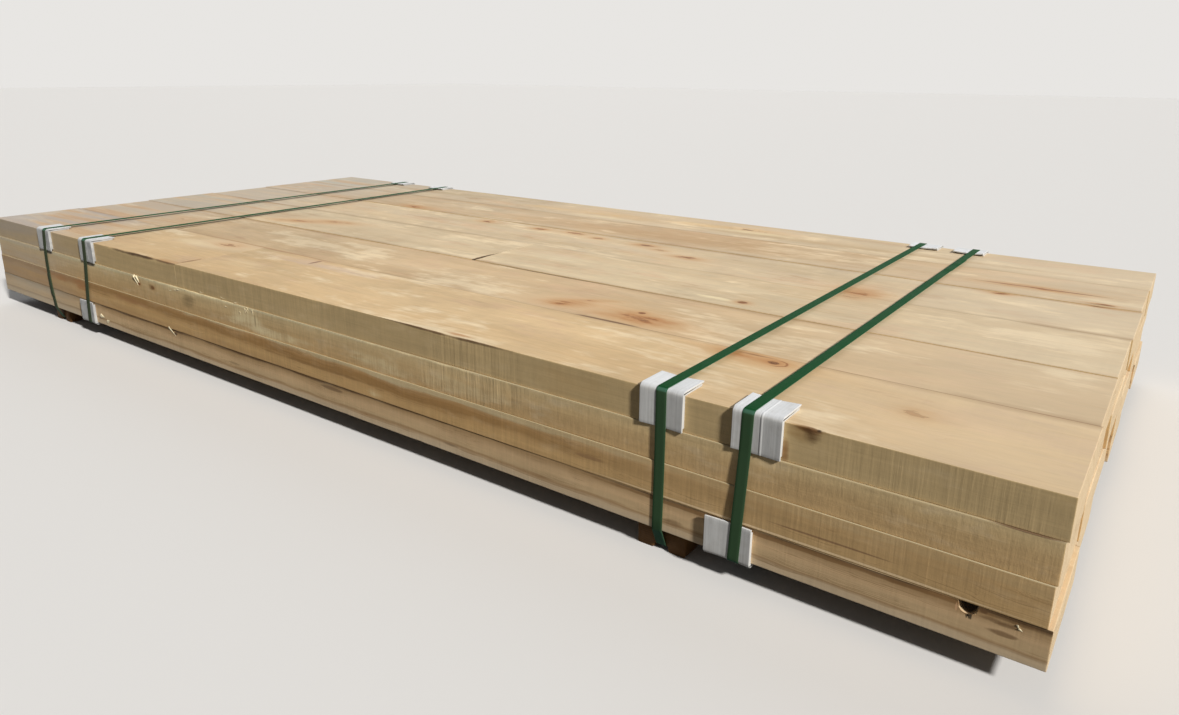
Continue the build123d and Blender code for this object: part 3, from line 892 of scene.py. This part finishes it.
# Bearers
bearer = dict(
    # The bearers' own dark orange-brown, set a little darker still as painted shade
    tones=dict(
        pale=(0.175, 0.082, 0.024), tan=(0.120, 0.052, 0.014), cream=(0.22, 0.11, 0.035), blush=(0.13, 0.055, 0.016),
        redBrown=(0.13, 0.055, 0.016), late=(0.07, 0.03, 0.010), lineBrown=(0.07, 0.03, 0.010),
        endPale=(0.165, 0.080, 0.024), endDark=(0.085, 0.038, 0.011),
    ),
    edge=dict(
        climb=0.0, furry=0.6, wavy=0.1, lines=0.3,
        stops=[(0.0, (0.12, 0.055, 0.016)), (0.6, (0.17, 0.08, 0.023)), (1.0, (0.14, 0.065, 0.018))],
    ),
    grooveHalf=0.011, grooveDeep=0.009, mouth=0.005, outer=0.003, pith=(0.03, -0.05), cuts=90, rough=0.0005,
)


def rounded(shape, corners, radius, segments):
    bmesh.ops.bevel(
        shape, geom=corners, offset=radius, segments=segments, profile=0.5, affect="VERTICES", material=-1,
    )


def makeBearer(node, seed):
    low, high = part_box(node)
    middle = (low + high) / 2
    half, deep = bearer["grooveHalf"], bearer["grooveDeep"]
    section = [
        (low.x, low.z), (middle.x - half, low.z), (middle.x - half, deep), (middle.x + half, deep),
        (middle.x + half, low.z), (high.x, low.z), (high.x, high.z), (low.x, high.z),
    ]
    shape = bmesh.new()
    verts = [shape.verts.new((x, low.y, z)) for x, z in section]
    shape.faces.new(verts)
    rounded(shape, [verts[1], verts[4]], bearer["mouth"], 4)
    outer = [v for v in shape.verts if abs(abs(v.co.x - middle.x) - (high.x - low.x) / 2) < 1e-6]
    rounded(shape, outer, bearer["outer"], 3)
    cut(shape, longEdges(shape.edges, 0.012), 5, False)
    grown = bmesh.ops.extrude_face_region(shape, geom=shape.faces[:])
    bmesh.ops.translate(shape, vec=(0, high.y - low.y, 0), verts=extruded(grown))
    cut(shape, edgesAlong(shape, 1, 0.5), bearer["cuts"])
    bmesh.ops.recalc_face_normals(shape, faces=shape.faces[:])
    for vert in shape.verts:
        rough = noise.noise_vector(Vector((vert.co.x * 60, vert.co.y * 14, vert.co.z * 60 + seed)))
        flat = vert.co.z < 0.001 or vert.co.z > high.z - 0.001
        vert.co += Vector((rough.x, 0, 0 if flat else rough.z)) * bearer["rough"]
    turned = [Vector((corner.y, corner.x, corner.z)) for corner in (low, high)]
    wood = Cedar("timber_" + node, bearer["tones"], bearer["edge"], turned, seed, crosswise=True)
    offPith, height = bearer["pith"]
    material = wood.finish((middle.x + offPith, height), weathers=False)
    return finished(shape, "sawn_" + node, material, [node])


makeBearer("left_bearer", 2.3)
makeBearer("right_bearer", 5.9)
print("bearers made")


# Corner protectors
protector = dict(
    leg=0.055, skin=0.0028, stand=0.005, corner=0.006, ridge=0.00003, ridgePitch=0.0066, flare=0.0013, grip=0.009,
    bead=0.0005, beadOff=0.006, beadHalf=0.0009, curl=0.0005, footWide=0.0025, footEnd=0.005, rounding=0.0004,
    lap=0.0005, inset=0.0001, cuts=89, legCuts=9, near=0.001,
    # upright is a darker copy of the plastic for the upright legs, as painted shade
    pale=(0.70, 0.715, 0.73), upright=(0.62, 0.62, 0.605), dusty=(0.50, 0.485, 0.45), worn=(0.42, 0.40, 0.36),
    leftwardGrey=(0.36, 0.37, 0.375), leftwardGreyFrom=(0.2, -0.9),
)


def protectorPlastic():
    f = Finish(bpy.data.materials.new("protector_plastic"))
    at = f.coordinates()
    dust = f.grainy(at, (55, 55, 55), (3, 1, 2), 4.0, 0.6)
    smear = f.grainy(at, (160, 22, 22), (1, 4, 2), 3.0, 0.6)
    isTop = f.step(f.apart(f.facing())[2], 0.35, 0.8)
    # The upright legs take the darker copy of the plastic: painted shade
    colour = f.blend(isTop, protector["upright"], protector["pale"])
    colour = f.blend(f.step(dust, 0.42, 0.8) * (0.6 - isTop * 0.3), colour, protector["dusty"])
    colour = f.blend(f.step(smear, 0.56, 0.8) * 0.4, colour, protector["worn"])
    # Greyer towards the left end, most on the upright legs
    leftwards = f.step(f.apart(at)[0], *protector["leftwardGreyFrom"]) * (1 - isTop * 0.7)
    colour = f.blend(leftwards * (0.45 + f.step(dust, 0.38, 0.62) * 0.40), colour, protector["leftwardGrey"])
    brushed = f.grainy(at, (380, 9, 9), (2, 5, 1), 3.0, 0.65)
    colour = f.blend(1.0 - isTop * 0.5, colour, f.tinted(colour, 0.70 + brushed * 0.66))
    lines = f.grainy(at, (900, 14, 14), detail=1.0)
    return f.surface(colour, 0.45 + dust * 0.2, f.bump(lines * 0.7 + dust * 0.3, 0.25, 0.0004), 0.4)


def makeProtector(node, material):
    low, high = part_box(node)
    side = -1 if node.startswith("front") else 1
    level = 1 if "_top_" in node else -1
    outerY = low.y if side < 0 else high.y
    outerZ = high.z if level > 0 else low.z
    middleX, width = (low.x + high.x) / 2, high.x - low.x
    leg, skin, radius = protector["leg"], protector["skin"], protector["corner"]
    beadX = -side * protector["beadOff"]

    def point(x, across, up):
        return (x, outerY + side * across, outerZ + level * up)

    def along(section, start, amount, cuts):
        # A length of the section, pulled along X
        before = set(shape.verts)
        verts = [shape.verts.new(point(start, a, b)) for a, b in section]
        shape.faces.new(verts)
        if cuts:
            rounded(shape, [verts[0]], radius, 5)
            face = [g for g in shape.faces if not set(g.verts) & before][-1]
            cut(shape, longEdges(face.edges, leg / 2), protector["legCuts"], False)
        face = [g for g in shape.faces if not set(g.verts) & before][-1]
        grown = bmesh.ops.extrude_face_region(shape, geom=[face])
        bmesh.ops.translate(shape, vec=(amount, 0, 0), verts=extruded(grown))
        if cuts:
            cut(shape, edgesAlong(shape, 0, amount * 0.9), cuts)

    shape = bmesh.new()
    sheet = [(0, 0), (0, -leg), (-skin, -leg), (-skin, -skin), (-leg, -skin), (-leg, 0)]
    along(sheet, low.x, width, protector["cuts"])
    for vert in shape.verts:
        across, up = (vert.co.y - outerY) * side, (vert.co.z - outerZ) * level
        offMiddle = vert.co.x - middleX
        if across > -radius and up > -radius:
            out = Vector((across + radius, up + radius))
            deep = radius - out.length
            out = out.normalized()
        else:
            deep = -max(across, up)
            out = Vector((1, 0)) if across > up else Vector((0, 1))
        push = 0.0
        if deep < skin * 0.4:
            ridged = math.cos(offMiddle / protector["ridgePitch"] * 2 * math.pi)
            push -= protector["ridge"] * (0.5 + 0.5 * ridged)
            if abs(offMiddle - beadX) < protector["beadHalf"]:
                push += protector["bead"]
        tip = min(1.0, max(-across, -up) / leg)
        away = min(1.0, abs(offMiddle) / (width / 2))
        push += protector["curl"] * tip**3 * away**2 * (0.4 + 0.8 * noise.noise(Vector((vert.co.x * 7, side, level))))
        vert.co.y += side * out.x * push
        vert.co.z += level * out.y * push
    stand, footEnd, footWide, lap, inset, near = (
        protector[key] for key in ("stand", "footEnd", "footWide", "lap", "inset", "near")
    )
    sunk = skin - lap
    footSection = [
        (-sunk, -sunk), (-sunk, footEnd - leg), (-stand, footEnd - leg),
        (-stand, -stand), (footEnd - leg, -stand), (footEnd - leg, -sunk),
    ]
    for start in (low.x + inset, middleX - footWide / 2, high.x - footWide - inset):
        along(footSection, start, footWide, 0)
    # The strap holds the middle down and the two edges flare out, while the feet stay on the wood
    for vert in shape.verts:
        across, up = (vert.co.y - outerY) * side, (vert.co.z - outerZ) * level
        if -max(across, up) < stand - lap:
            share = max(0.0, abs(vert.co.x - middleX) - protector["grip"]) / (width / 2 - protector["grip"])
            flare = protector["flare"] * share
            vert.co.y += side * flare * (across > up - near)
            vert.co.z += level * flare * (up > across - near)
    bmesh.ops.recalc_face_normals(shape, faces=shape.faces[:])
    return finished(shape, "moulded_" + node, material, [node], rounding=protector["rounding"])


plastic = protectorPlastic()
for node in sorted(name for name in nodes if "protector" in name):
    makeProtector(node, plastic)
print("protectors moulded")


# Straps
strap = dict(
    width=0.016, thick=0.001, corner=0.006, columns=4, face=0.6105, top=0.245, bottom=0.033, bottomFace=0.6146,
    grooveEnd=(0.5972, 0.009), lowest=0.038, bellyTop=0.088, faceFrom=0.190,
    cuts=((0.3, math.inf, 60), (0.025, 0.3, 10)),  # into edges from one length up to another
    rounding=0.00025, weldRounding=0.0002, emboss=0.0026, greyerLeftFrom=(0.2, -0.9),
    # upright is a lighter, browner copy of the green for the standing runs, as painted bounce light
    dark=(0.0055, 0.060, 0.0155), upright=(0.050, 0.100, 0.048), scuffed=(0.030, 0.120, 0.060),
    greyerLeft=(0.075, 0.072, 0.045), gleam=(0.075, 0.185, 0.125),
)
# Each strap: whether a bearer is under it, how far its front run strays, and its weld's run, middle and length
strapRoutes = {
    "strap_1": dict(bearer=True, sway=(0.002, -0.012, 0.0), weld=("front", 0.098, 0.060)),
    "strap_2": dict(bearer=False, sway=(0.010, 0.0, -0.010), weld=("bottom", 0.240, 0.130)),
    "strap_3": dict(bearer=True, sway=(0.0, 0.0005, 0.0), weld=("back", 0.120, 0.060)),
    "strap_4": dict(bearer=False, sway=(0.003, 0.0, -0.004), weld=("top", 0.396, 0.130), skew=0.0024),
}


def strapPlastic():
    f = Finish(bpy.data.materials.new("strap_plastic"))
    at = f.coordinates()
    x, y, z = f.apart(at)
    nz = f.apart(f.facing())[2].maths("ABSOLUTE")
    flat = f.step(nz, 0.5, 0.8)
    run = y * flat + z * (1 - flat)
    pitch = 2 * math.pi / strap["emboss"]
    emboss = ((x + run) * pitch).maths("SINE").maths("MAXIMUM", ((x - run) * pitch).maths("SINE"))
    scuff = f.grainy(at, (90, 40, 40), (2, 1, 5), 4.0, 0.6)
    # Standing runs take the lighter, browner copy as painted bounce light; flat runs take the darker green
    colour = f.blend(flat, strap["upright"], strap["dark"])
    # Standing runs turn greyer towards the left end
    colour = f.blend(f.step(x, *strap["greyerLeftFrom"]) * (1 - flat) * 0.6, colour, strap["greyerLeft"])
    colour = f.blend(f.step(scuff, 0.55, 0.85) * 0.35, colour, strap["scuffed"])
    # Painted highlight on the bends, where the strap turns over a corner
    turned = f.step(nz, 0.15, 0.4) * (1 - f.step(nz, 0.75, 0.96))
    colour = f.blend(turned * 0.75, colour, strap["gleam"])
    return f.surface(colour, 0.45 + scuff * 0.2, f.bump(emboss * 0.5 + scuff * 0.5, 0.3, 0.0003), 0.015)


def strays(co, route):
    # How far along X the strap is off its place: only its front run wanders
    upper, half, lower = route["sway"]
    level = min(1.0, max(0.0, (co.z - strap["lowest"]) / (strap["top"] - strap["lowest"])))
    bow = 4 * level * (1 - level)
    straight = upper * level + lower * (1 - level)
    return (straight + (half - (upper + lower) / 2) * bow) * min(1.0, max(0.0, 0.5 - co.y / strap["face"] / 2))


def makeStrap(node, route, material):
    low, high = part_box(node)
    middleX = (low.x + high.x) / 2
    face, top, bottom, bottomFace = (strap[key] for key in ("face", "top", "bottom", "bottomFace"))
    if route["bearer"]:
        grooveY, grooveZ = strap["grooveEnd"]
        front = [(-grooveY, grooveZ), (-face, strap["lowest"]), (-face, top)]
        turns = (top,)
    else:
        front = [(-bottomFace, bottom), (-bottomFace, strap["bellyTop"]), (-face, strap["faceFrom"]), (-face, top)]
        turns = (top, bottom)
    outline = front + [(-y, z) for y, z in reversed(front)]
    shape = bmesh.new()
    verts = [shape.verts.new((middleX - strap["width"] / 2, y, z)) for y, z in outline]
    shape.faces.new(verts)
    rounded(shape, [v for v in verts if any(abs(v.co.z - level) < 1e-6 for level in turns)], strap["corner"], 7)
    bmesh.ops.delete(shape, geom=shape.faces[:], context="FACES_ONLY")
    for least, most, cuts in strap["cuts"]:
        cut(shape, longEdges(shape.edges, least, most), cuts, False)
    edges = shape.edges[:]
    for _ in range(strap["columns"]):
        grown = bmesh.ops.extrude_edge_only(shape, edges=edges)
        moved = extruded(grown)
        edges = [e for e in extruded(grown, bmesh.types.BMEdge) if e.verts[0] in moved and e.verts[1] in moved]
        bmesh.ops.translate(shape, vec=(strap["width"] / strap["columns"], 0, 0), verts=moved)
    bmesh.ops.recalc_face_normals(shape, faces=shape.faces[:])
    for vert in shape.verts:
        vert.co.x += strays(vert.co, route)
    piece = finished(shape, "woven_" + node, material, [node])
    wall = piece.modifiers.new("wall", "SOLIDIFY")
    wall.thickness = strap["thick"]
    wall.offset = 1.0
    roundEdges(piece, strap["rounding"])


weld = dict(
    narrower=0.0004, sunk=0.00005, ribsHalf=0.014, ribPitch=0.0028, rib=0.00022, taper=0.004, wobble=0.0003, cuts=79,
)


def makeWeld(node, route, material):
    # The strap's second end, welded on over the first, with its melted ridges
    low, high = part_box(node)
    run, middle, length = route["weld"]
    face, top, bottom, thick = (strap[key] for key in ("face", "top", "bottom", "thick"))
    upright = run in ("front", "back")
    out, onFace = {
        "top": ((0, 0, 1), (0, middle, top)), "bottom": ((0, 0, -1), (0, middle, bottom)),
        "front": ((0, -1, 0), (0, -face, middle)), "back": ((0, 1, 0), (0, face, middle)),
    }[run]
    out = Vector(out)
    centre = Vector(onFace) + out * (1.5 * thick - weld["sunk"])
    centre.x = (low.x + high.x) / 2
    size = (strap["width"] - weld["narrower"], *((thick, length) if upright else (length, thick)))
    shape = bmesh.new()
    bmesh.ops.create_cube(shape, size=1.0, matrix=Matrix.Diagonal((*size, 1)))
    cut(shape, longEdges(shape.edges, length * 0.9), weld["cuts"])
    for vert in shape.verts:
        place = vert.co.z if upright else vert.co.y
        outward = vert.co.dot(out) > 0
        fromEnd = length / 2 - abs(place)
        if outward and abs(place) < weld["ribsHalf"]:
            vert.co += out * (weld["rib"] * math.sin(place / weld["ribPitch"] * 2 * math.pi) - weld["rib"])
        if outward and fromEnd < weld["taper"]:
            vert.co -= out * (thick * 0.55 * (1 - fromEnd / weld["taper"]))
        vert.co += centre
        vert.co.x += strays(vert.co, route) + weld["wobble"] * math.sin(place * 40) + route.get("skew", 0)
    bmesh.ops.recalc_face_normals(shape, faces=shape.faces[:])
    return finished(shape, "weld_" + node, material, rounding=strap["weldRounding"])


green = strapPlastic()
for node, route in strapRoutes.items():
    makeStrap(node, route, green)
    makeWeld(node, route, green)
print("straps made")


# Floor, camera and light
studio = dict(
    floorSize=60.0, floorColour=(0.80, 0.79, 0.775), floorBounce=(0.10, 0.098, 0.096), backdrop=(0.806, 0.790, 0.766),
    key=dict(strength=4.0, angle=5.0, place=(0.775, -0.235, 0.590), colour=(1.0, 0.975, 0.94)),
    fill=dict(strength=0.75, angle=60.0, place=(-0.50, 0.75, 0.50), colour=(0.95, 0.97, 1.0)),
    skyColour=(0.93, 0.96, 1.0), skyStrength=0.09,
)
floorMesh = bmesh.new()
bmesh.ops.create_grid(floorMesh, x_segments=2, y_segments=2, size=studio["floorSize"] / 2)
mesh = bpy.data.meshes.new("floor")
floorMesh.to_mesh(mesh)
floorMesh.free()
floor = linked("floor", mesh)
paint = Finish(bpy.data.materials.new("floor_paint"))
seen = paint.seenBy("Camera", "Glossy", "Transmission")
paintColour = paint.blend(seen, studio["floorBounce"], studio["floorColour"])
mesh.materials.append(paint.surface(paintColour, 0.9, specular=0.1))

scene.world = bpy.data.worlds.new("studio")
sky = Finish(scene.world)
glow = sky.add("ShaderNodeBackground", None, {"Color": studio["skyColour"], "Strength": studio["skyStrength"]})
backdrop = sky.add("ShaderNodeBackground", None, {"Color": studio["backdrop"]})
mix = sky.add("ShaderNodeMixShader", None, {0: sky.seenBy("Camera", "Glossy"), 1: glow, 2: backdrop})
sky.add("ShaderNodeOutputWorld", None, {"Surface": mix})

for name in ("key", "fill"):
    lampData = bpy.data.lights.new(name, "SUN")
    lampData.energy = studio[name]["strength"]
    lampData.angle = math.radians(studio[name]["angle"])
    lampData.color = studio[name]["colour"]
    lamp = linked(name, lampData)
    lamp.rotation_euler = Vector(studio[name]["place"]).to_track_quat("Z", "Y").to_euler()

# The photo's view, in its own pixels
shot = dict(
    place=(1.361, -1.491, 0.640), yaw=-36.06, down=16.06, roll=0.46, focal=836.9, wide=1179, high=715, middleY=312.7,
    sensor=36.0, nearest=0.05, farthest=200,
)
yaw, down, roll = (math.radians(shot[k]) for k in ("yaw", "down", "roll"))
forward = Vector((math.sin(yaw) * math.cos(down), math.cos(yaw) * math.cos(down), -math.sin(down)))
level = Vector((math.cos(yaw), -math.sin(yaw), 0))
upright = level.cross(forward)
rightward = level * math.cos(roll) + upright * math.sin(roll)
upward = upright * math.cos(roll) - level * math.sin(roll)
cameraData = bpy.data.cameras.new("camera")
cameraData.sensor_width = shot["sensor"]
cameraData.lens = shot["sensor"] * shot["focal"] / shot["wide"]
cameraData.shift_y = (shot["middleY"] - shot["high"] / 2) / shot["wide"]
cameraData.clip_start = shot["nearest"]
cameraData.clip_end = shot["farthest"]
camera = linked("camera", cameraData)
facing = Matrix((rightward, upward, -forward)).transposed().to_4x4()
facing.translation = Vector(shot["place"])
camera.matrix_world = facing
scene.camera = camera
scene.view_settings.view_transform = "Standard"
print("studio ready")
